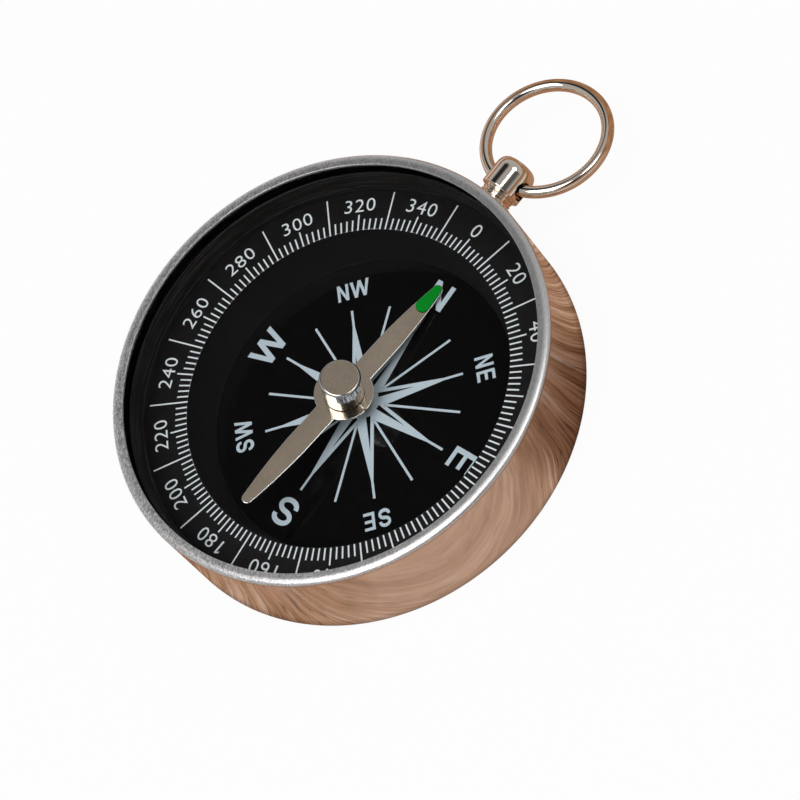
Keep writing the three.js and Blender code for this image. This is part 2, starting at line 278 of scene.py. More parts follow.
def satin_metal(name, colour, shade, roughness, grain_depth):
    finish = Finish(name)
    grain = finish.noise(FINE_GRAIN, 4.0, 0.65)
    patches = finish.noise(220.0)
    speckle = (grain - 0.5) * 2.0 + patches
    return finish.coat(
        Base_Color=finish.tint(speckle, shade, colour), Metallic=1.0,
        Roughness=roughness + 0.10 * (grain - 0.5), Normal=finish.bump(grain, 0.25, grain_depth))


BACK_SATIN = satin_metal("back_satin", (0.86, 0.80, 0.75), (0.78, 0.71, 0.65), 0.40, 0.00001)
NEEDLE_SATIN = satin_metal("needle_satin", (0.66, 0.535, 0.415), (0.425, 0.345, 0.27), 0.14, 0.000006)
PIN_BRASS = satin_metal("pin_brass", (0.69, 0.53, 0.28), (0.60, 0.45, 0.22), 0.25, 0.000005)

# %% [markdown]
# ### The bezel
# The ring over the crystal was brushed straight across in one direction, so the marks run along it on two
# sides and across it on the other two. A noise that is stretched along one line gives such marks. They are
# stronger on one side of the ring, where the brush pressed harder.

# %% Bezel finish
BRUSH_AZIMUTH = math.radians(122)
ROUGH_SIDE = Vector((-0.78, -0.62, 0.0))
ROUGH_RADIUS = 22 * MM


def bezel_finish():
    finish = Finish("bezel_satin")
    brushed = finish.streaks((3600.0, 8500.0, 8500.0), 2.0, 0.6, finish.turned_by(BRUSH_AZIMUTH))
    rough_side = finish.dot(finish.place, ROUGH_SIDE / ROUGH_RADIUS)
    marks = (brushed - 0.5) * (1.9 + 1.3 * rough_side) + 0.5
    return finish.coat(
        Base_Color=finish.tint(marks, (0.38, 0.37, 0.365), (0.95, 0.94, 0.94)), Metallic=1.0,
        Roughness=0.30 + 0.08 * marks, Normal=finish.bump(marks, 0.5, 0.00002))


BEZEL_SATIN = bezel_finish()

# %% [markdown]
# ### Black mouldings and the dial
# The well and the sleeve are black plastic with a slight moulded skin, and the leaning wall of the well is
# dull. The sleeve was turned, so faint rings run round it. The edge of the well is rubbed pale on one side,
# and that pale colour is also a painted glint of light on the edge. The dial card has a glossy lacquer, so
# the hub and the needle are mirrored in it.

# %% Black plastic and lacquer
BLACKS = (0.0025, 0.0022, 0.0024), (0.006, 0.0052, 0.0055)


def black_plastic(name, roughness, skin_depth, gleam, paleness=1.0):
    finish = Finish(name)
    skin = finish.noise(5000.0, 3.0, 0.6)
    dust = finish.noise(900.0, 4.0, 0.7)
    dark, pale = [tuple(paleness * c for c in tone) for tone in BLACKS]
    return finish.coat(
        Base_Color=finish.tint(dust, dark, pale), Roughness=roughness + 0.12 * (dust - 0.5),
        Specular_IOR_Level=gleam, Normal=finish.bump(skin, 0.15, skin_depth))


def sleeve_black():
    finish = Finish("sleeve_black")
    rings = (finish.streaks((120.0, 120.0, 3500.0), 3.0, 0.7) - 0.52) * 5.0
    return finish.coat(
        Base_Color=finish.tint(rings, (0.014, 0.012, 0.011), (0.075, 0.068, 0.065)),
        Roughness=0.6, Specular_IOR_Level=0.2)


# The pale patches are rubbed wear, and they are also a painted glint of light on the well's edge.
def worn_edge():
    finish = Finish("worn_edge")
    rubbed_and_glint = (finish.noise(1500.0, 4.0, 0.7) - 0.48) * 6.0
    return finish.coat(
        Base_Color=finish.tint(rubbed_and_glint, (0.01, 0.01, 0.01), (0.62, 0.58, 0.56)), Roughness=0.4)


WELL_BLACK = black_plastic("well_black", 0.34, 0.000008, 0.25, 2.2)
WELL_DULL = black_plastic("well_dull", 0.70, 0.000008, 0.22, 2.0)
DIAL_BLACK = black_plastic("dial_lacquer", 0.10, 0.000001, 0.5)
SLEEVE_BLACK = sleeve_black()
WELL_EDGE_GLINT = worn_edge()

# %% [markdown]
# ### Ink, paint and the jewel
# The print is a pale blue-grey ink that is a little uneven. The tip of the needle has a thick green paint.
# The bearing that rests on the pin is a red jewel.

# %% Ink and paint
def flat_coat(name, colour, shade, roughness, grain, gleam=0.5):
    finish = Finish(name)
    patches = finish.noise(grain, 3.0, 0.6)
    return finish.coat(
        Base_Color=finish.tint(patches, shade, colour), Roughness=roughness + 0.1 * (patches - 0.5),
        Specular_IOR_Level=gleam, Normal=finish.bump(patches, 0.1, 0.000006))


ROSE_INK = flat_coat("rose_ink", (0.64, 0.74, 0.81), (0.54, 0.64, 0.71), 0.45, 2600.0)
SCALE_INK = flat_coat("scale_ink", (0.92, 0.96, 0.985), (0.81, 0.86, 0.89), 0.45, 2600.0)
GREEN_PAINT = flat_coat("tip_green", (0.001, 0.33, 0.024), (0.001, 0.25, 0.019), 0.55, 3000.0, 0.06)
JEWEL = flat_coat("red_jewel", (0.40, 0.05, 0.08), (0.30, 0.03, 0.05), 0.12, 1200.0)

# %% [markdown]
# ### The crystal
# A clean flat window is nearly invisible from above and a mirror at a low angle. Mixing a transparent
# shader with a glossy one by the Fresnel factor gives just that, and lets the light through to the dial.

# %% Crystal finish
WHITE = (1.0, 1.0, 1.0, 1.0)


def crystal_finish():
    finish = Finish("clear_window")
    mirror = finish.node("ShaderNodeBsdfGlossy", {"Color": WHITE, "Roughness": 0.02})
    clear = finish.node("ShaderNodeBsdfTransparent", {"Color": (0.98, 0.985, 0.985, 1.0)})
    facing = finish.node("ShaderNodeFresnel", {"IOR": 1.22})
    from_inside = finish.node("ShaderNodeNewGeometry", output="Backfacing")
    return finish.done(finish.mixed(facing * (1.0 - from_inside), clear, mirror))


CRYSTAL = crystal_finish()

# %% [markdown]
# ## Turning smooth pieces
# Most of a compass is turned on a lathe, so one helper does what a lathe does: it takes an outline of radius
# and height and carries it round an axis. Each corner of the outline may be rounded. Two extra points close
# to every rounding hold the flat faces flat, so their reflections stay straight.

# %% Round the corners of an outline
ROUND_STEPS = 6
HOLD = 0.02 * MM


def softened(corners):
    """Corners of (x, y), or (x, y, rounding), to plain points."""
    points = []
    for index, (x, y, *rounding) in enumerate(corners):
        corner = Vector((x, y))
        if not rounding:
            points.append(corner)
            continue
        size = rounding[0]
        before = (Vector(corners[index - 1][:2]) - corner).normalized()
        after = (Vector(corners[(index + 1) % len(corners)][:2]) - corner).normalized()
        points.append(corner + before * (size + HOLD))
        for step in range(ROUND_STEPS + 1):
            t = step / ROUND_STEPS
            points.append(corner + before * size * (1 - t) ** 2 + after * size * t ** 2)
        points.append(corner + after * (size + HOLD))
    return points


print("points for a rounded corner:", ROUND_STEPS + 3)

# %% Turn an outline
SHARP_ANGLE = math.radians(40)


def mesh_piece(name, bm, *finishes):
    bmesh.ops.recalc_face_normals(bm, faces=bm.faces)
    mesh = bpy.data.meshes.new(name)
    bm.to_mesh(mesh)
    bm.free()
    mesh.shade_smooth()
    mesh.set_sharp_from_angle(angle=SHARP_ANGLE)
    for finish in finishes:
        mesh.materials.append(finish)
    return add_object(name, mesh)


def turned(corners, steps):
    """An outline of (radius, height) carried round +Z, as a bmesh. It closes on itself or on the axis."""
    bm = bmesh.new()
    on_axis = corners[0][0] == 0.0
    angles = [2 * math.pi * k / steps for k in range(steps)]
    rings = []
    for radius, height in softened(corners):
        if radius == 0.0:
            rings.append([bm.verts.new((0, 0, height))] * steps)
        else:
            rings.append([bm.verts.new((radius * math.sin(a), radius * math.cos(a), height)) for a in angles])
    for low, high in zip(rings, rings[1:] if on_axis else rings[1:] + rings[:1]):
        for k in range(steps):
            j = (k + 1) % steps
            bm.faces.new(dict.fromkeys((low[k], low[j], high[j], high[k])))
    return bm


print("lathe ready")

# %% [markdown]
# ## The case
# The wall is one drawn cup that widens a little towards the back, where its edge is turned in. Its edges are
# rounded by the drawing, and the bezel sits on a step at the top. Sizes come from the solids; the few that a
# box can't show, such as the rim's width, are given here.

# %% Case wall
CASE_STEPS = 192
RIM_WIDTH = 1.55 * MM
RIM_THICKNESS = 0.40 * MM
RIM_ROUND = 0.12 * MM
WALL = 0.50 * MM
EDGE_ROUND = 0.45 * MM
BEZEL_WALL = 0.25 * MM
SEAM = 0.05 * MM
SEAM_LINE = 0.015 * MM

case_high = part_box("case_body")[1]
bezel_low, bezel_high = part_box("bezel_ring")
base_radius = case_high.x
case_radius = bezel_high.x
bore = case_radius - WALL
rim_inner = case_radius - RIM_WIDTH
step_radius = case_radius - BEZEL_WALL - SEAM
ledge = bezel_low.z - SEAM_LINE

case_wall = mesh_piece("case_wall", turned([
    (rim_inner, 0.0, RIM_ROUND),
    (base_radius, 0.0, EDGE_ROUND),
    (case_radius, ledge),
    (step_radius, ledge),
    (step_radius, case_high.z),
    (bore, case_high.z),
    (bore, RIM_THICKNESS),
    (rim_inner, RIM_THICKNESS),
], CASE_STEPS), WALL_METAL)
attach(case_wall, "case")
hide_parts("case_body")
print("base radius in mm:", in_mm(base_radius), "faces:", len(case_wall.data.polygons))

# %% [markdown]
# ## The bezel and the back
# The bezel's top is a satin band that curves down to the wall like a quarter of an ellipse, and its inner
# edge is rounded too. The curve turns the reflection of the near side up to the light, which draws one bright
# line. The back is a flat disc behind the turned-in rim, with a fine groove round it.

# %% Bezel
LIP_INNER = 21.32 * MM
LIP_ROUND = 0.06 * MM
CROWN_WIDTH = 0.75 * MM
CROWN_DROP = 0.36 * MM
CROWN_STEPS = 14

crown = []
for step in range(CROWN_STEPS + 1):
    lean = math.pi / 2 * (1 - step / CROWN_STEPS)
    crown.append((case_radius - CROWN_WIDTH * (1 - math.sin(lean)),
                  bezel_high.z - CROWN_DROP * (1 - math.cos(lean))))
bezel = mesh_piece("bezel", turned([
    (step_radius + SEAM, bezel_low.z),
    (case_radius, bezel_low.z),
    *crown,
    (LIP_INNER, bezel_high.z, LIP_ROUND),
    (LIP_INNER, case_high.z),
    (step_radius + SEAM, case_high.z),
], CASE_STEPS), BEZEL_SATIN)
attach(bezel, "case")
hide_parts("bezel_ring")
print("bezel band in mm:", in_mm(case_radius - LIP_INNER))

# %% Back disc
BACK_GROOVE = 0.22 * MM

back_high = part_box("back_plate")[1]
face_radius = rim_inner - BACK_GROOVE
back_disc = mesh_piece("back_disc", turned([
    (0.0, 0.0),
    (face_radius, 0.0, RIM_ROUND),
    (face_radius, RIM_THICKNESS),
    (back_high.x, RIM_THICKNESS),
    (back_high.x, back_high.z),
    (0.0, back_high.z),
], CASE_STEPS), BACK_SATIN)
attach(back_disc, "case")
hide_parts("back_plate")
print("back disc radius in mm:", in_mm(face_radius))

# %% [markdown]
# ## The well
# A sleeve keeps the crystal above the ring of degrees, and the ring of degrees is the top of a well with
# leaning walls. Both are plain turned shapes whose edges are slightly rounded, and those edges catch the
# light. The finish of each face follows from its slope. On one side the top edge of the well is also
# painted pale, as rubbed wear and as a painted glint.

# %% Sleeve
SLEEVE_INNER = 21.30 * MM
SLEEVE_ROUND = 0.10 * MM
NUT_ROOM = 0.08 * MM
LEDGE_HEIGHT = 0.86 * MM
LEDGE_WIDTH = 0.10 * MM
MOULD_ROUND = 0.05 * MM
STEEP = 0.5


def steep(face, limit=STEEP):
    return int(abs(face.normal.z) < limit)


sleeve_low, sleeve_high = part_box("spacer_sleeve")
insert_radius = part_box("stem_nut")[0].y - NUT_ROOM
sleeve_ledge = sleeve_low.z + LEDGE_HEIGHT
sleeve = mesh_piece("sleeve", turned([
    (SLEEVE_INNER - LEDGE_WIDTH, sleeve_low.z),
    (insert_radius, sleeve_low.z),
    (insert_radius, sleeve_high.z),
    (SLEEVE_INNER, sleeve_high.z, SLEEVE_ROUND),
    (SLEEVE_INNER, sleeve_ledge),
    (SLEEVE_INNER - LEDGE_WIDTH, sleeve_ledge, MOULD_ROUND),
], CASE_STEPS), WELL_BLACK, SLEEVE_BLACK)
for face in sleeve.data.polygons:
    face.material_index = steep(face)
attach(sleeve, "case")
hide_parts("spacer_sleeve")
print("sleeve height in mm:", in_mm(sleeve_high.z - sleeve_low.z))

# %% Scale ring
WELL_TOP = 16.84 * MM
WELL_FOOT = 15.80 * MM
WELL_WALL = 0.70 * MM
SCALE_PLATE = 0.90 * MM
FOOT_FILLET = 0.06 * MM
NEARLY_FLAT = 0.97

scale_low, scale_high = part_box("scale_ring")
dial_gap = scale_low.z + FOOT_FILLET
scale_ring = mesh_piece("degree_ring", turned([
    (WELL_FOOT, dial_gap),
    (WELL_FOOT - FOOT_FILLET, scale_low.z),
    (WELL_FOOT + WELL_WALL, scale_low.z),
    (WELL_TOP + WELL_WALL, scale_high.z - SCALE_PLATE),
    (insert_radius, scale_high.z - SCALE_PLATE),
    (insert_radius, scale_high.z),
    (WELL_TOP, scale_high.z, MOULD_ROUND),
], CASE_STEPS), WELL_BLACK, WELL_DULL, WELL_EDGE_GLINT)
# The rounded top edge gets the rubbed finish only where x is below 0, so its pale patches there are also a
# painted glint.
for face in scale_ring.data.polygons:
    on_edge = STEEP < face.normal.z < NEARLY_FLAT and face.center.z > dial_gap
    worn_and_glinting = on_edge and face.center.x < 0.0
    face.material_index = 2 if worn_and_glinting else steep(face)
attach(scale_ring, "case")
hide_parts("scale_ring")
print("well depth in mm:", in_mm(scale_high.z - scale_low.z))

# %% [markdown]
# ## Geometry Nodes for what repeats
# The degree marks, the rays of the rose and the wire of the ring each follow a rule, so trees of Geometry
# Nodes make them from named sizes. The result is turned into a plain mesh, because instances and live
# modifiers don't travel to other programs.

# %% Grow a tree into a mesh
NUMBER = "NodeSocketFloat"
COUNT = "NodeSocketInt"
VECTOR = "NodeSocketVector"
MATERIAL = "NodeSocketMaterial"


def geometry_tree(name, inputs):
    """A tree with one geometry output; inputs maps each name to its socket type."""
    tree = bpy.data.node_groups.new(name, "GeometryNodeTree")
    tree.interface.new_socket("Geometry", in_out="OUTPUT", socket_type="NodeSocketGeometry")
    for label, kind in inputs.items():
        tree.interface.new_socket(label, in_out="INPUT", socket_type=kind)
    graph = Graph(tree)
    source = tree.nodes.new("NodeGroupInput")
    return graph, {label: Signal(graph, source.outputs[label]) for label in inputs}


def finish_tree(graph, geometry, material):
    solid = graph.node("GeometryNodeRealizeInstances", {"Geometry": geometry})
    coated = graph.node("GeometryNodeSetMaterial", {"Geometry": solid, "Material": material})
    graph.node("NodeGroupOutput", {"Geometry": coated}, None)
    print("tree:", graph.tree.name, "nodes:", len(graph.tree.nodes))
    return graph.tree


def plain_mesh(item):
    """What an object looks like with its modifiers, as a mesh of its own."""
    return bpy.data.meshes.new_from_object(item.evaluated_get(bpy.context.evaluated_depsgraph_get()))


def settled(piece):
    """Swaps a piece's modifiers for their result."""
    mesh = plain_mesh(piece)
    piece.modifiers.clear()
    piece.data = mesh
    print(piece.name, "faces:", len(mesh.polygons))
    return piece


def grown(name, tree, values):
    """Runs a tree with its inputs set by identifier and keeps the result as a plain mesh."""
    piece = add_object(name, bpy.data.meshes.new(name))
    modifier = piece.modifiers.new("grow", "NODES")
    modifier.node_group = tree
    for item in tree.interface.items_tree:
        if item.in_out == "INPUT":
            modifier[item.identifier] = values[item.name]
    return settled(piece)


print("kinds of input:", NUMBER, COUNT, VECTOR, MATERIAL)

# %% [markdown]
# ## The degree marks
# There are 180 marks, one for every two degrees. Counting them in tens, the first of each ten is a middle
# mark with a number, the sixth is a long one, and the rest are short. A remainder of the index picks the
# length, and one small box is copied to every place.

# %% Tree of the degree marks
def bearing_of(index, given):
    return index * (2 * math.pi) / given["Count"] + given["Turn"]


def copies_at(graph, count, spot, bearing, original, **sockets):
    """One copy of an original at every spot, turned to its bearing."""
    points = graph.node("GeometryNodePoints", {"Count": count, "Position": spot})
    turn = graph.node("ShaderNodeCombineXYZ", {"Z": 0.0 - bearing})
    return graph.node("GeometryNodeInstanceOnPoints", {
        "Points": points, "Instance": original, "Rotation": turn, **sockets})


def mark_tree():
    graph, given = geometry_tree("degree_marks", {
        "Count": COUNT, "Inner Radius": NUMBER, "Middle of Print": VECTOR, "Turn": NUMBER, "Short": NUMBER,
        "Middle": NUMBER, "Long": NUMBER, "Width": NUMBER, "Thickness": NUMBER, "Ink": MATERIAL,
    })
    index = graph.node("GeometryNodeInputIndex")
    place_in_ten = index % 10.0
    is_middle = place_in_ten < 0.5
    is_long = (place_in_ten > 4.5) * (place_in_ten < 5.5)
    is_short = 1.0 - is_middle - is_long
    length = is_short * given["Short"] + is_middle * given["Middle"] + is_long * given["Long"]
    bearing = bearing_of(index, given)
    radius = given["Inner Radius"] + length / 2.0
    around = graph.node("ShaderNodeCombineXYZ", {
        "X": radius * bearing.math("SINE", bearing), "Y": radius * bearing.math("COSINE", bearing)})
    spot = graph.node("ShaderNodeVectorMath", {0: around, 1: given["Middle of Print"]}, operation="ADD")
    mark = graph.node("GeometryNodeMeshCube", {"Size": (1.0, 1.0, 1.0)}, "Mesh")
    size = graph.node("ShaderNodeCombineXYZ", {"X": given["Width"], "Y": length, "Z": given["Thickness"]})
    copies = copies_at(graph, given["Count"], spot, bearing, mark, Scale=size)
    return finish_tree(graph, copies, given["Ink"])


MARK_TREE = mark_tree()

# %% Print the degree marks
SCALE_TURN = math.radians(2.27)
INK_THICKNESS = 0.02 * MM

scale_middle = (0.08 * MM, -0.03 * MM, scale_high.z + INK_THICKNESS / 2)
degree_marks = grown("degree_marks", MARK_TREE, {
    "Count": 180, "Inner Radius": 16.86 * MM, "Middle of Print": scale_middle, "Turn": SCALE_TURN,
    "Short": 1.22 * MM, "Middle": 1.77 * MM, "Long": 4.14 * MM, "Width": 0.155 * MM,
    "Thickness": INK_THICKNESS, "Ink": SCALE_INK,
})
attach(degree_marks, "case")

# %% [markdown]
# ## The numbers
# The numbers stand beyond the middle marks with their tops outward. Blender's own font is a plain sans like
# the printed one, only its 1 is a bare bar, so a small slanted plate of ink is set beside it. Each number
# becomes a mesh first and is then laid in its place, so the finished piece sits at the origin.

# %% Make a thin plate
def plate(name, outlines, low, high, finish):
    """Flat outlines of (x, y) between two heights; outlines that share points are joined."""
    bm = bmesh.new()
    bottom, top, borders = {}, {}, {}
    for outline in outlines:
        spots = [(round(x, 9), round(y, 9)) for x, y in outline]
        for spot in spots:
            if spot not in bottom:
                bottom[spot] = bm.verts.new((*spot, low))
                top[spot] = bm.verts.new((*spot, high))
        for corners in (bottom, top):
            bm.faces.new([corners[spot] for spot in spots])
        for edge in zip(spots, spots[1:] + spots[:1]):
            both = frozenset(edge)
            borders[both] = None if both in borders else edge
    for start, end in filter(None, borders.values()):
        bm.faces.new((bottom[start], bottom[end], top[end], top[start]))
    return mesh_piece(name, bm, finish)


def printed(name, outlines, finish):
    """A layer of ink with its lower face at height 0."""
    return plate(name, outlines, 0.0, INK_THICKNESS, finish)


print("ink thickness in mm:", in_mm(INK_THICKNESS))

# %% Write one number
DIGIT_HEIGHT = 1.47 * MM
FONT_DIGIT_HEIGHT = 0.70
DIGIT_WEIGHT = -0.010 * MM
DIGIT_SPACING = 1.08
FLAG_REACH = 0.24 * MM
FLAG_WEIGHT = 0.20 * MM


def word_mesh(word):
    curve = adjust(
        bpy.data.curves.new("word", "FONT"), body=word, size=DIGIT_HEIGHT / FONT_DIGIT_HEIGHT,
        align_x="CENTER", resolution_u=3, offset=DIGIT_WEIGHT, space_character=DIGIT_SPACING,
        extrude=INK_THICKNESS / 2)
    writer = add_object("word", curve)
    mesh = plain_mesh(writer)
    bpy.data.objects.remove(writer)
    bpy.data.curves.remove(curve)
    return mesh


def flag_plate(word):
    """The slanted stroke of a leading 1, beside the bar that the font gives."""
    left = min(v.co.x for v in word.vertices)
    top = max(v.co.y for v in word.vertices if v.co.x < left + FLAG_REACH)
    far = left - FLAG_REACH
    outline = [(left, top), (left, top - FLAG_WEIGHT), (far, top - 2 * FLAG_WEIGHT), (far, top - FLAG_WEIGHT)]
    return plate("flag", [outline], -INK_THICKNESS / 2, INK_THICKNESS / 2, SCALE_INK)


print("digit height in mm:", in_mm(DIGIT_HEIGHT))

# %% Print the numbers
NUMBER_STEP = 20
NUMBER_RADIUS = 19.68 * MM
DIGIT_STRETCH = 1.06


def laid_out(bearing, radius, middle):
    """The place of a word on a round dial: turned so that its top points outward."""
    turn = Matrix.Rotation(-bearing, 4, "Z")
    return Matrix.Translation(middle) @ turn @ Matrix.Translation((0.0, radius, 0.0))


numbers = bmesh.new()
for degrees in range(0, 360, NUMBER_STEP):
    shapes = [word_mesh(str(degrees))]
    if str(degrees)[0] == "1":
        flag = flag_plate(shapes[0])
        shapes.append(flag.data)
        bpy.data.objects.remove(flag)
    bearing = math.radians(degrees) + SCALE_TURN
    place = laid_out(bearing, NUMBER_RADIUS - DIGIT_HEIGHT / 2, scale_middle)
    for mesh in shapes:
        mesh.transform(place @ Matrix.Diagonal((DIGIT_STRETCH, 1.0, 1.0, 1.0)))
        numbers.from_mesh(mesh)
        bpy.data.meshes.remove(mesh)
scale_numbers = mesh_piece("scale_numbers", numbers, SCALE_INK)
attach(scale_numbers, "case")
print("numbers:", 360 // NUMBER_STEP, "faces:", len(scale_numbers.data.polygons))

# %% [markdown]
# ## The rose
# Sixteen rays stand round the middle. The eight main ones are slim kites: one half is filled, the other is
# only outlined, and both run out into a thin line. Their feet meet in the middle. The eight between them are
# plain lines. Each kind is drawn once, as a thin plate of ink, and a tree sets eight copies round the middle.
# The print is a little turned and off centre on its card, as it often is.
# The notch of a main ray is a hole, and a face can't have one, so the ray is two outlines that share points.

# %% Tree of copies round the middle
def round_tree():
    graph, given = geometry_tree("copies_round", {
        "Original": "NodeSocketObject", "Count": COUNT, "Turn": NUMBER, "Middle": VECTOR, "Ink": MATERIAL,
    })
    index = graph.node("GeometryNodeInputIndex")
    original = graph.node("GeometryNodeObjectInfo", {"Object": given["Original"]}, "Geometry")
    copies = copies_at(graph, given["Count"], given["Middle"], bearing_of(index, given), original)
    return finish_tree(graph, copies, given["Ink"])


RAY_TREE = round_tree()

# %% Print the rose
ROSE_TURN = math.radians(-3.75)
ROSE_REACH = 10.5 * MM
RAY_COUNT = 8
RAY_NARROW = 8.6 * MM
LINE_HALF_WIDTH = 0.125 * MM
VALLEY = 2.37 * MM
NOTCH_START = 1.65 * MM
NOTCH_END = 5.50 * MM
NOTCH_WIDTH = 0.49 * MM
NOTCH_OFFSET = 0.13 * MM

rose_middle = (0.0, 0.08 * MM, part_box("dial_card")[1].z)
half_step = math.pi / RAY_COUNT
valley_x, valley_y = VALLEY * math.sin(half_step), VALLEY * math.cos(half_step)
notch_corner = (-NOTCH_OFFSET, NOTCH_START)
notch_tip = (-NOTCH_OFFSET, NOTCH_END)
shoulder = (-LINE_HALF_WIDTH, RAY_NARROW)
main_ray = printed("main_ray", [
    [(0.0, 0.0), (valley_x, valley_y), (LINE_HALF_WIDTH, RAY_NARROW), (LINE_HALF_WIDTH, ROSE_REACH),
     (-LINE_HALF_WIDTH, ROSE_REACH), shoulder, notch_tip, notch_corner],
    [(0.0, 0.0), notch_corner, (-NOTCH_OFFSET - NOTCH_WIDTH, NOTCH_START), notch_tip, shoulder,
     (-valley_x, valley_y)],
], ROSE_INK)
thin_ray = printed("thin_ray", [[
    (-LINE_HALF_WIDTH, VALLEY), (LINE_HALF_WIDTH, VALLEY),
    (LINE_HALF_WIDTH, ROSE_REACH), (-LINE_HALF_WIDTH, ROSE_REACH),
]], ROSE_INK)
for name, ray, turn in (("main_rays", main_ray, ROSE_TURN), ("thin_rays", thin_ray, ROSE_TURN + half_step)):
    rays = grown(name, RAY_TREE, {
        "Original": ray, "Count": RAY_COUNT, "Turn": turn, "Middle": rose_middle, "Ink": ROSE_INK})
    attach(rays, "case")
    bpy.data.objects.remove(ray)

# %% [markdown]
# ## The letters
# The points of the compass are set in heavy capitals. Only four letters are needed, so each is drawn from
# its strokes: three are polygons, and the S is a ribbon along two arcs. All have a height of one and are
# scaled when they are laid out.

# %% Draw the letters
def letter_n(stem, width=0.80):
    slant = 1.65 * stem
    return [
        (0, 0), (stem, 0), (stem, 1 - slant), (width - stem, 0), (width, 0), (width, 1),
        (width - stem, 1), (width - stem, slant), (stem, 1), (0, 1),
    ], width


def letter_e(stem, width=0.76):
    bar = 0.82 * stem
    low, high, short = 0.51 - bar / 2, 0.51 + bar / 2, width - 0.06
    return [
        (0, 0), (width, 0), (width, bar), (stem, bar), (stem, low), (short, low), (short, high),
        (stem, high), (stem, 1 - bar), (width - 0.02, 1 - bar), (width - 0.02, 1), (0, 1),
    ], width


def letter_w(stem, width=1.36, foot=0.27):
    stem = 1.06 * stem
    half = stem / 2
    left, right, middle = foot * width, (1 - foot) * width, width / 2
    notch = 1.6 * stem
    return [
        (left - half, 0), (left + half, 0), (middle, 1 - notch), (right - half, 0), (right + half, 0),
        (width, 1), (width - stem, 1), (right, notch), (middle + half, 1), (middle - half, 1),
        (left, notch), (stem, 1), (0, 1),
    ], width


def letter_s(stem, width=0.81, tall=1.04, steps=16):
    weight = 0.95 * stem
    across, down = (width - weight) / 2, (tall - weight) / 4
    spine = []
    for middle, start, end in ((0.5 + down, -6, 270), (0.5 - down, 90, -186)):
        for step in range(steps + 1):
            angle = math.radians(start + (end - start) * step / steps)
            spine.append(Vector((width / 2 + across * math.cos(angle), middle + down * math.sin(angle))))
    del spine[steps]
    sides = ([], [])
    for index, point in enumerate(spine):
        along = spine[min(index + 1, len(spine) - 1)] - spine[max(index - 1, 0)]
        normal = Vector((-along.y, along.x)).normalized() * weight / 2
        sides[0].append(tuple(point + normal))
        sides[1].append(tuple(point - normal))
    return sides[0] + sides[1][::-1], width


LETTERS = {"N": letter_n, "E": letter_e, "S": letter_s, "W": letter_w}
print("letters drawn:", "".join(LETTERS))

# %% Print the letters
POINTS = ("N", "NE", "E", "SE", "S", "SW", "W", "NW")
LETTER_GAP = {"N": 0.0, "S": 0.0, "E": 0.21, "W": 0.11}
NUDGED = {"NE": 0.14 * MM, "SW": -0.24 * MM}
CARDINAL = {"height": 2.87 * MM, "radius": 13.05 * MM, "stem": 0.189, "squeeze": 1.0}
BETWEEN = {"height": 1.88 * MM, "radius": 12.78 * MM, "stem": 0.20, "squeeze": 0.80}

lettering = bmesh.new()
for turn, word in enumerate(POINTS):
    kind = CARDINAL if len(word) == 1 else BETWEEN
    drawn = [LETTERS[letter](kind["stem"]) for letter in word]
    gap = LETTER_GAP[word[-1]]
    first_width = drawn[0][1] * kind["squeeze"]
    start = -first_width / 2 if len(word) == 1 else -first_width - gap / 2
    bearing = ROSE_TURN + math.radians(360 / len(POINTS) * turn)
    nudge = Matrix.Translation((NUDGED.get(word, 0.0), 0.0, 0.0))
    place = laid_out(bearing, kind["radius"], rose_middle) @ nudge
    for outline, width in drawn:
        sized = [((start + x * kind["squeeze"]) * kind["height"], (y - 0.5) * kind["height"])
                 for x, y in outline]
        letter = printed("letter", [sized], ROSE_INK)
        letter.data.transform(place)
        lettering.from_mesh(letter.data)
        bpy.data.objects.remove(letter)
        start += width * kind["squeeze"] + gap
dial_letters = mesh_piece("dial_letters", lettering, ROSE_INK)
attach(dial_letters, "case")
print("words:", len(POINTS), "faces:", len(dial_letters.data.polygons))

# %% [markdown]
# ## The needle
# The needle hangs on the pin by its hub, so it dips and rolls a little. Its shapes are easiest to make lying
# flat, round an upright axis, and are then tilted into place. The blade looks the same when turned by half
# a turn, so the middle of its box is the middle of the boss, whatever the tilt.

# %% The needle's own frame
NEEDLE_BEARING = math.radians(-1.9)
NEEDLE_DIP = math.radians(9.2)
NEEDLE_ROLL = math.radians(13.0)

blade_low, blade_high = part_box("needle_blade")
tilt = Matrix.Rotation(-NEEDLE_DIP, 3, "X") @ Matrix.Rotation(NEEDLE_ROLL, 3, "Y")
turn_and_tilt = Matrix.Rotation(-NEEDLE_BEARING, 3, "Z") @ tilt
needle_place = Matrix.Translation((blade_low + blade_high) / 2) @ turn_and_tilt.to_4x4()


def own_box(node):
    """A node's box in the needle's frame, where the blade lies flat."""
    back = needle_place.inverted()
    spots = [back @ v.co for v in nodes[node].data.vertices]
    low = Vector([min(s[k] for s in spots) for k in range(3)])
    high = Vector([max(s[k] for s in spots) for k in range(3)])
    print(node, "in mm:", in_mm(*(high - low)))
    return low, high


flat_low, flat_high = own_box("needle_blade")
cap_low, cap_high = own_box("needle_cap")
paint_low, paint_high = own_box("north_tip")

# %% [markdown]
# ### The blade
# It is stamped from thin sheet: a round boss and two arms that keep their width to a shoulder and then narrow
# to a round tip. A Bevel modifier rounds the stamped edge, and the edge is bare and bright.

# %% Draw half of the blade
BOSS_RADIUS = 2.95 * MM
ARM_HALF_WIDTH = 1.15 * MM
ARM_SHOULDER = 7.0 * MM
ARM_BULGE = 1.03 * MM
TIP_RADIUS = 0.56 * MM
ARM_STEPS = 16

tip_centre = flat_high.y - TIP_RADIUS


def arm_half_width(station):
    t = (station - ARM_SHOULDER) / (tip_centre - ARM_SHOULDER)
    return ARM_HALF_WIDTH * (1 - t) ** 2 + 2 * ARM_BULGE * t * (1 - t) + TIP_RADIUS * t ** 2


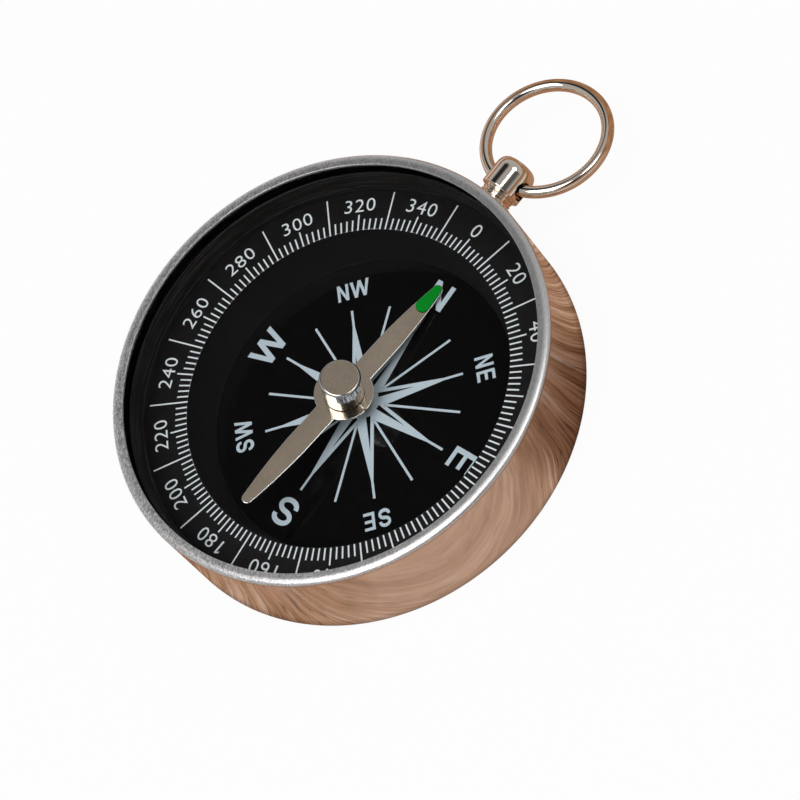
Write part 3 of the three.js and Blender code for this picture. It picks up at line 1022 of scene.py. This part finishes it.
def half_blade():
    """The outline from the boss's east side over the north arm to its west side."""
    side = math.acos(ARM_HALF_WIDTH / BOSS_RADIUS)
    points = [(BOSS_RADIUS * math.cos(a), BOSS_RADIUS * math.sin(a))
              for a in (side * k / ARM_STEPS for k in range(ARM_STEPS + 1))]
    edge = [ARM_SHOULDER + (tip_centre - ARM_SHOULDER) * k / ARM_STEPS for k in range(ARM_STEPS)]
    points += [(arm_half_width(station), station) for station in edge]
    points += [(TIP_RADIUS * math.cos(a), tip_centre + TIP_RADIUS * math.sin(a))
               for a in (math.pi / 2 * k / ARM_STEPS for k in range(ARM_STEPS))]
    return points + [(0.0, tip_centre + TIP_RADIUS)] + [(-x, y) for x, y in reversed(points[1:])]


print("middle of the tip in mm:", in_mm(tip_centre))

# %% Blade
BLADE_HOLE = 1.49 * MM
EDGE_BEVEL = 0.08 * MM


def bevelled(piece, width):
    """Applies a bevel to the piece's sharp edges and keeps the result as its mesh."""
    adjust(piece.modifiers.new("edge", "BEVEL"), width=width, segments=3, limit_method="ANGLE",
           angle_limit=math.radians(50), harden_normals=True)
    return settled(piece)


half_turn = [math.pi * k / (2 * ARM_STEPS) for k in range(2 * ARM_STEPS + 1)]
hole_edge = [(-BLADE_HOLE * math.cos(a), BLADE_HOLE * math.sin(a)) for a in half_turn]
north_half = half_blade() + hole_edge
south_half = [(-x, -y) for x, y in north_half]
blade = bevelled(plate("blade", [north_half, south_half], flat_low.z, flat_high.z, NEEDLE_SATIN), EDGE_BEVEL)
blade.data.materials.append(NEEDLE_EDGE)
for face in blade.data.polygons:
    face.material_index = steep(face, NEARLY_FLAT)
blade.data.transform(needle_place)
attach(blade, "needle")
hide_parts("needle_blade")

# %% [markdown]
# ### The cap and the paint
# The cap is a turned cup with a satin top and a polished side. The paint lies on the north arm, with a thin
# margin of metal all round, and its edge is soft because paint is.

# %% Cap
SMALL_STEPS = 96
CAP_CHAMFER = 0.16 * MM
CAP_ROOF = 0.2 * MM
CAP_BORE = 1.20 * MM
CAP_SEAT = 0.66 * MM
CAP_SKIRT = 0.22 * MM
CAP_UNDERCUT = 0.14 * MM
CAP_GROOVE = 0.11 * MM
CAP_ROUNDS = 0.03 * MM, 0.04 * MM, 0.10 * MM
TOP_MARGIN = 0.01 * MM

cap_radius = cap_high.x
cap = mesh_piece("cap", turned([
    (0.0, cap_high.z - CAP_ROOF),
    (CAP_BORE, cap_high.z - CAP_ROOF),
    (CAP_BORE, cap_low.z + CAP_SEAT),
    (cap_radius - CAP_SKIRT, cap_low.z + CAP_SEAT),
    (cap_radius - CAP_SKIRT, cap_low.z),
    (cap_radius - CAP_UNDERCUT, cap_low.z),
    (cap_radius - CAP_UNDERCUT, cap_low.z + CAP_GROOVE),
    (cap_radius, cap_low.z + CAP_GROOVE, CAP_ROUNDS[0]),
    (cap_radius, cap_high.z - CAP_CHAMFER, CAP_ROUNDS[1]),
    (cap_radius - CAP_CHAMFER, cap_high.z, CAP_ROUNDS[2]),
    (0.0, cap_high.z),
], SMALL_STEPS), CAP_METAL, NEEDLE_SATIN)
for face in cap.data.polygons:
    face.material_index = int(face.center.z > cap_high.z - TOP_MARGIN)
cap.data.transform(needle_place)
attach(cap, "needle")
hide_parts("needle_cap")
print("cap faces:", len(cap.data.polygons))

# %% Paint
PAINT_INSET = 0.12 * MM
PAINT_EDGE = 0.03 * MM

outer_round = TIP_RADIUS - PAINT_INSET
inner_round = paint_high.x
inner_centre = paint_low.y + inner_round
paint_outline = [(outer_round * math.cos(a), tip_centre + outer_round * math.sin(a)) for a in half_turn]
paint_outline += [(-inner_round * math.cos(a), inner_centre - inner_round * math.sin(a)) for a in half_turn]
paint = bevelled(plate("paint", [paint_outline], paint_low.z, paint_high.z, GREEN_PAINT), PAINT_EDGE)
paint.data.transform(needle_place)
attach(paint, "needle")
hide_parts("north_tip")

# %% [markdown]
# ## The post and the ring
# The post is turned: a ridged neck, then a barrel with a domed end and a cross hole for the ring. The hole
# is cut with a Boolean modifier. The ring is round wire bent to a circle, which is a curve with a round
# section.

# %% Post
SHANK_RADIUS = 1.20 * MM
NECK_RADIUS = 1.55 * MM
NECK_LENGTH = 0.90 * MM
NECK_RIDGES = 2
RIDGE_HEIGHT = 0.18 * MM
FURROW_ROUND = 0.05 * MM
CREST_ROUND = 0.06 * MM
HEAD_LENGTH = 3.50 * MM
HEAD_ROUND = 0.18 * MM
HEAD_DOME = 1.20 * MM

post_low, post_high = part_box("stem_post")
collar_low, collar_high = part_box("stem_collar")
stem_height = (post_low.z + post_high.z) / 2
head_radius = post_high.x
neck_start = collar_high.y
head_start = post_high.y - HEAD_LENGTH
ridge_pitch = NECK_LENGTH / (NECK_RIDGES + 1)
stand_along_y = Matrix.Translation((0.0, 0.0, stem_height)) @ Matrix.Rotation(-math.pi / 2, 4, "X")


def turned_along_y(name, corners):
    shape = turned(corners, SMALL_STEPS)
    bmesh.ops.transform(shape, matrix=stand_along_y, verts=shape.verts)
    return mesh_piece(name, shape, NICKEL)


corners = [(0.0, post_low.y), (SHANK_RADIUS, post_low.y), (SHANK_RADIUS, neck_start),
           (NECK_RADIUS, neck_start)]
for ridge in range(1, NECK_RIDGES + 1):
    crest = neck_start + ridge * ridge_pitch
    corners.append((NECK_RADIUS, crest - ridge_pitch / 2, FURROW_ROUND))
    corners.append((NECK_RADIUS + RIDGE_HEIGHT, crest, CREST_ROUND))
post = turned_along_y("post", corners + [
    (NECK_RADIUS, head_start - ridge_pitch / 2, FURROW_ROUND),
    (NECK_RADIUS, head_start),
    (head_radius, head_start, HEAD_ROUND),
    (head_radius, post_high.y, HEAD_DOME),
    (0.0, post_high.y),
])
print("post length in mm:", in_mm(post_high.y - post_low.y))

# %% Drill the post
HOLE_RADIUS = 0.988 * MM
HOLE_STEPS = 48

hinge = Vector(next(j for j in frame["joints"] if j["name"] == "ring_swing")["pos_m"])
drill_shape = bmesh.new()
bmesh.ops.create_cone(drill_shape, cap_ends=True, segments=HOLE_STEPS, radius1=HOLE_RADIUS,
                      radius2=HOLE_RADIUS, depth=3 * head_radius)
bmesh.ops.transform(drill_shape, verts=drill_shape.verts, matrix=(
    Matrix.Translation((0.0, hinge.y, stem_height)) @ Matrix.Rotation(math.pi / 2, 4, "Y")))
drill = mesh_piece("drill", drill_shape, NICKEL)
adjust(post.modifiers.new("hole", "BOOLEAN"), object=drill, operation="DIFFERENCE", solver="EXACT")
settled(post)
bpy.data.objects.remove(drill)
post.data.set_sharp_from_angle(angle=SHARP_ANGLE)
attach(post, "case")
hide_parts("stem_post")

# %% Collar under the post
COLLAR_BORE = SHANK_RADIUS + 0.1 * MM
COLLAR_ROUNDS = 0.08 * MM, 0.12 * MM

collar_radius = collar_high.x
collar = turned_along_y("collar", [
    (COLLAR_BORE, collar_low.y),
    (collar_radius, collar_low.y, COLLAR_ROUNDS[0]),
    (collar_radius, collar_high.y, COLLAR_ROUNDS[1]),
    (COLLAR_BORE, collar_high.y),
])
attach(collar, "case")
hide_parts("stem_collar")
print("collar radius in mm:", in_mm(collar_radius))

# %% Tree of the ring
def ring_tree():
    graph, given = geometry_tree("wire_ring", {
        "Ring Radius": NUMBER, "Ring Steps": COUNT, "Wire Radius": NUMBER, "Wire Steps": COUNT,
        "Droop": NUMBER, "Middle": VECTOR, "Metal": MATERIAL,
    })
    path, section = [graph.node("GeometryNodeCurvePrimitiveCircle", {
        "Resolution": given[f"{kind} Steps"], "Radius": given[f"{kind} Radius"],
    }) for kind in ("Ring", "Wire")]
    wire = graph.node("GeometryNodeCurveToMesh", {"Curve": path, "Profile Curve": section})
    smooth = graph.node("GeometryNodeSetShadeSmooth", {"Geometry": wire})
    turn = graph.node("ShaderNodeCombineXYZ", {"X": given["Droop"]})
    placed = graph.node("GeometryNodeTransform", {
        "Geometry": smooth, "Translation": given["Middle"], "Rotation": turn})
    return finish_tree(graph, placed, given["Metal"])


RING_TREE = ring_tree()

# %% Bend the ring
WIRE_RADIUS = 0.625 * MM

ring_low, ring_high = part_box("key_ring")
ring_middle = (ring_low + ring_high) / 2
ring = grown("ring", RING_TREE, {
    "Ring Radius": ring_high.x - WIRE_RADIUS, "Ring Steps": 160, "Wire Radius": WIRE_RADIUS, "Wire Steps": 40,
    "Droop": math.radians(-4.0), "Middle": ring_middle, "Metal": NICKEL,
})
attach(ring, "ring")
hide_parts("key_ring")

# %% [markdown]
# ## Solids that keep their own shape
# The dial card, the crystal, the pin and the small hidden parts are already right as solids. They only get
# their finish.

# %% Coat the solids that stay
COATS = {
    "dial_card": DIAL_BLACK, "crystal": CRYSTAL, "pivot_pin": PIN_BRASS, "needle_collar": NICKEL,
    "needle_jewel": JEWEL, "stem_nut": NICKEL,
}
for node, finish in COATS.items():
    nodes[node].data.materials.clear()
    nodes[node].data.materials.append(finish)
print("coated:", ", ".join(COATS))

# %% [markdown]
# ## The studio
# The compass lies on a pale floor that the camera and the reflections see as white, and that keeps a faint
# shadow. It is open beneath the case, because the back needs light as well.

# %% Floor
FLOOR_HALF = 6.0
FLOOR_HEIGHT = -0.02 * MM
SEEN_WHITE = 0.94


def reach_from_middle(finish):
    return finish.node("ShaderNodeVectorMath", {0: finish.place}, "Value", operation="LENGTH")


def under_case(finish):
    """1 beneath the case, and 0 round it."""
    return reach_from_middle(finish) < base_radius - EDGE_ROUND


def glow(finish, colour):
    return finish.node("ShaderNodeEmission", {"Color": colour, "Strength": 1.0})


def open_air(finish):
    return finish.node("ShaderNodeBsdfTransparent")


def floor_finish():
    finish = Finish("pale_floor")
    direct, mirrored, through = [finish.node("ShaderNodeLightPath", output=kind) for kind in (
        "Is Camera Ray", "Is Glossy Ray", "Is Transmission Ray")]
    matt = finish.node("ShaderNodeBsdfDiffuse", {"Color": (0.85, 0.85, 0.85, 1.0)})
    top = finish.mixed((direct + mirrored + through) * SEEN_WHITE, matt, glow(finish, WHITE))
    below = finish.node("ShaderNodeNewGeometry", output="Backfacing")
    return finish.done(finish.mixed(below + under_case(finish), top, open_air(finish)))


def flat_square(name, half, height, finish):
    bm = bmesh.new()
    spots = [(x * half, y * half, height) for x, y in ((-1, -1), (1, -1), (1, 1), (-1, 1))]
    bm.faces.new([bm.verts.new(spot) for spot in spots])
    return mesh_piece(name, bm, finish)


floor = flat_square("floor", FLOOR_HALF, FLOOR_HEIGHT, floor_finish())
print("floor half width in mm:", in_mm(FLOOR_HALF))

# %% [markdown]
# ### What the metal mirrors
# Polished metal shows what stands round it. A streaked warm board lies round the case, pale or dark in some
# directions and bare towards one side, and a low warm screen stands round the ring. Only reflections see
# them. Both glow with their colours even though they are not lamps, so the warm streaks on the wall, the post
# and the ring are a painted reflection. Next to the case the board is darkened to a painted contact
# shadow. The screen's top slopes and its low sides fade, so that the crystal and the wall don't show its
# edges.

# %% Streaks of the board
GRAIN_AZIMUTH = math.radians(63)
SWAY = (0.0, 0.0035, 0.0)
BOARD_TONES = [
    (0.34, (0.25, 0.125, 0.068, 1.0)), (0.46, (0.42, 0.222, 0.13, 1.0)),
    (0.58, (0.56, 0.34, 0.225, 1.0)), (0.70, (0.65, 0.50, 0.43, 1.0)),
]
LINE_TONE = (0.09, 0.04, 0.02)


def toned(finish, factor, stops):
    """A colour from a ramp of (position, colour) stops."""
    colour = finish.node("ShaderNodeValToRGB", {"Fac": factor})
    elements = colour.socket.node.color_ramp.elements
    while len(elements) < len(stops):
        elements.new(1.0)
    for element, (position, tone) in zip(elements, stops):
        element.position = position
        element.color = tone
    return colour


def board_streaks(finish):
    wander = finish.noise(90.0)
    bent = finish.node("ShaderNodeVectorMath", {
        0: finish.noise(70.0, output="Color"), 1: SWAY, 2: finish.turned_by(GRAIN_AZIMUTH),
    }, operation="MULTIPLY_ADD")
    fine = finish.streaks((110.0, 5200.0, 110.0), 3.0, 0.65, bent)
    bands = finish.streaks((30.0, 600.0, 30.0), 2.0, 0.5, bent)
    tone = (fine - 0.5) * 0.9 + bands * 0.5 + 0.25 + (wander - 0.5) * 0.4
    ridge = finish.streaks((60.0, 1900.0, 60.0), 2.0, 0.5, bent) - 0.5
    line = 1.0 - ridge * ridge * 2600.0
    return finish.tint(line * 0.7, toned(finish, tone, BOARD_TONES), LINE_TONE)


print("tones of the board:", len(BOARD_TONES))

# %% Glowing warm board
BOARD_HALF = 0.10
BOARD_HEIGHT = -0.01 * MM
# Each sector is an azimuth with the outer and the inner angle from it, in degrees.
PALE_SECTOR, PALE_SHARE, PALE_TONE = (-20, 42, 8), 0.5, (0.62, 0.42, 0.315)
BARE_SECTOR, BARE_NEAR, BARE_FAR = (195, 60, 30), (0.30, 0.285, 0.27), (0.80, 0.795, 0.79)
DARK_SECTOR, DARK_FAR_SHARE, DARK_TONE = (33, 24, 6), 0.55, (0.34, 0.26, 0.22)
# The contact share and tone make a painted contact shadow: the board goes nearly black beside the case.
CONTACT_SHADOW_SHARE, CONTACT_SHADOW_TONE = 0.92, (0.03, 0.015, 0.01)
BARE_REACH, DARK_REACH, CONTACT_SHADOW_REACH = 24.0 * MM, 6.0 * MM, 0.7 * MM


def within(graph, cosine, outer, inner):
    """1 up to the inner angle, fading to 0 at the outer one, in degrees."""
    return graph.fade(cosine, math.cos(math.radians(outer)), math.cos(math.radians(inner)))


def board_finish():
    finish = Finish("warm_board")
    reach = reach_from_middle(finish)

    def sector(azimuth, outer, inner):
        return within(finish, finish.dot(finish.place, aim(azimuth, 0)) / reach, outer, inner)

    # The board glows with these colours, so what the metal shows of it, pale and dark sectors included, is a
    # painted reflection.
    pale = finish.tint(sector(*PALE_SECTOR) * PALE_SHARE, board_streaks(finish), PALE_TONE)
    silver = finish.tint(finish.fade(reach, base_radius, base_radius + BARE_REACH), BARE_NEAR, BARE_FAR)
    bare = finish.tint(sector(*BARE_SECTOR), pale, silver)
    nearness = finish.fade(reach, base_radius, base_radius + DARK_REACH, 1.0, DARK_FAR_SHARE, "LINEAR")
    darker = finish.tint(sector(*DARK_SECTOR) * nearness, bare, DARK_TONE, "MULTIPLY")
    # Painted contact shadow: next to the case the glow darkens, so the wall shows a dark line along its foot.
    contact_shadow = finish.fade(
        reach, base_radius - EDGE_ROUND, base_radius + CONTACT_SHADOW_REACH, CONTACT_SHADOW_SHARE, 0.0, "LINEAR")
    with_contact_shadow = finish.tint(contact_shadow, darker, CONTACT_SHADOW_TONE)
    return finish.done(finish.mixed(under_case(finish), glow(finish, with_contact_shadow), open_air(finish)))


def only_mirrored(prop):
    adjust(prop, visible_camera=False, visible_diffuse=False, visible_shadow=False,
           visible_transmission=False)


glowing_board = flat_square("warm_board", BOARD_HALF, BOARD_HEIGHT, board_finish())
only_mirrored(glowing_board)
print("board half width in mm:", in_mm(BOARD_HALF))

# %% Glowing warm screen
SCREEN_RADIUS = 13 * MM
SCREEN_HEIGHT = 14 * MM
SCREEN_SLOPE = 0.158
SCREEN_FADE = 9 * MM
SCREEN_RISE = 2.5 * MM
CLEAR_HEIGHT = 6.5 * MM
SCREEN_STEPS = 40
SCREEN_START = math.radians(-45)
SCREEN_END = math.radians(225)


def screen_finish():
    finish = Finish("warm_screen")
    streaks = (finish.streaks((430.0, 430.0, 180.0), 3.0, 0.6) - 0.5) * 3.0 + 0.5
    colour = finish.tint(streaks, (0.24, 0.115, 0.055), (0.46, 0.26, 0.145))
    along, height = [finish.node("ShaderNodeSeparateXYZ", {"Vector": finish.place}, axis) for axis in "YZ"]
    solid = finish.fade(along, ring_middle.y, ring_middle.y + SCREEN_FADE) + finish.fade(
        height, CLEAR_HEIGHT, CLEAR_HEIGHT + SCREEN_RISE)
    # The screen glows with painted warm streaks, which are a painted reflection in the ring and the post.
    return finish.done(finish.mixed(solid, open_air(finish), glow(finish, colour)))


screen_shape = bmesh.new()
low_edge, high_edge = [], []
for k in range(SCREEN_STEPS + 1):
    angle = SCREEN_START + (SCREEN_END - SCREEN_START) * k / SCREEN_STEPS
    across, along = SCREEN_RADIUS * math.cos(angle), SCREEN_RADIUS * math.sin(angle)
    x, y = ring_middle.x + across, ring_middle.y + along
    low_edge.append(screen_shape.verts.new((x, y, 0.0)))
    high_edge.append(screen_shape.verts.new((x, y, SCREEN_HEIGHT - SCREEN_SLOPE * (SCREEN_RADIUS - along))))
for k in range(SCREEN_STEPS):
    screen_shape.faces.new((low_edge[k], low_edge[k + 1], high_edge[k + 1], high_edge[k]))
glowing_screen = mesh_piece("warm_screen", screen_shape, screen_finish())
only_mirrored(glowing_screen)
print("screen height in mm:", in_mm(SCREEN_HEIGHT))

# %% [markdown]
# ### Light
# A large soft lamp above and a smaller one behind give plain light, and an even sky fills the shadows. Two
# dark patches in the sky do what a photographer's black cards do: one keeps the crystal and the lacquer
# dark, and the other draws a dark line along the round metal that faces the camera.

# %% Lamps and sky
LAMPS = {
    "key_lamp": (aim(-77, 73) * 0.7, {"size": 0.40, "energy": 2.3}),
    "edge_lamp": (aim(52, 63) * 0.6, {"size": 0.18, "energy": 0.45}),
}
# Each card is a direction, the outer and the inner angle from it, and the share of light it takes.
CARDS = ((aim(169, 56), 22, 9, 0.95), (aim(-8, 50), 30, 10, 0.92))
SKY_LOW, SKY_HIGH = 0.55, 0.40

for name, (place, settings) in LAMPS.items():
    lamp = adjust(bpy.data.lights.new(name, "AREA"), shape="SQUARE", **settings)
    towards_middle = (-place).to_track_quat("-Z", "Y").to_euler()
    adjust(add_object(name, lamp), location=place, rotation_euler=towards_middle)

world = bpy.data.worlds.new("studio")
bpy.context.scene.world = world
world.use_nodes = True
world.node_tree.nodes.clear()
sky = Graph(world.node_tree)
direction = sky.node("ShaderNodeTexCoord", output="Generated")
height = sky.node("ShaderNodeSeparateXYZ", {"Vector": direction}, "Z")
strength = sky.fade(height, -0.1, 1.0, SKY_LOW, SKY_HIGH, "LINEAR")
for towards, outer, inner, share in CARDS:
    strength = strength * (1.0 - share * within(sky, sky.dot(direction, towards), outer, inner))
light = sky.node("ShaderNodeBackground", {"Color": WHITE, "Strength": strength})
sky.node("ShaderNodeOutputWorld", {"Surface": light}, None)
bpy.context.scene.view_settings.view_transform = "Standard"
print("lamps:", len(LAMPS), "dark cards:", len(CARDS))
